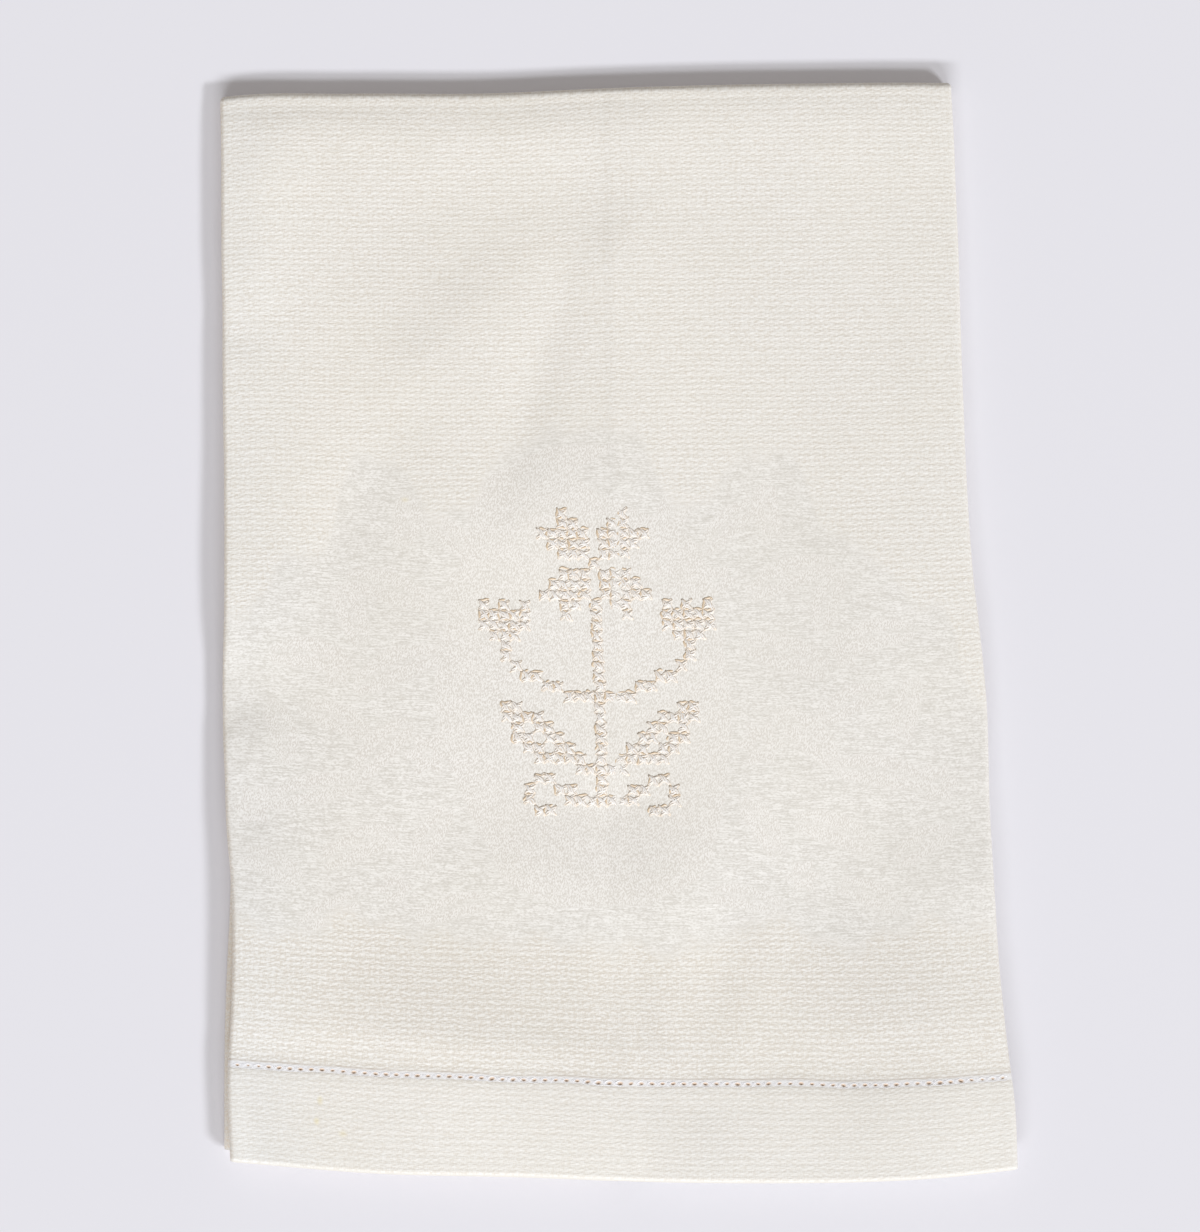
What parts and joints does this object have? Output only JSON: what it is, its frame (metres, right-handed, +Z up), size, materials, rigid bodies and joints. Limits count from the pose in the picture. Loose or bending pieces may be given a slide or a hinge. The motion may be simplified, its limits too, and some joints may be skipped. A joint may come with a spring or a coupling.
{
  "type": "hand towel",
  "caption": "Linen huckaback hand towel, folded and lying flat, with hemstitched hems, a damask figure and a cross-stitched floral sprig on its front.",
  "frame": {"origin": "on the surface the towel lies on, under the middle of its outline", "axes": "+X across the towel, to the right of someone reading its front; +Y from the hems to the top fold; +Z up, out of the front"},
  "size_m": [0.1914, 0.2803, 0.008],
  "materials": {
    "linen": "ivory linen huckaback with a damask figure, softly matt, washed and pressed",
    "floss": "cream cotton embroidery floss with a soft sheen"
  },
  "bodies": {
    "root": {"towel": "linen"}
  },
  "joints": []
}
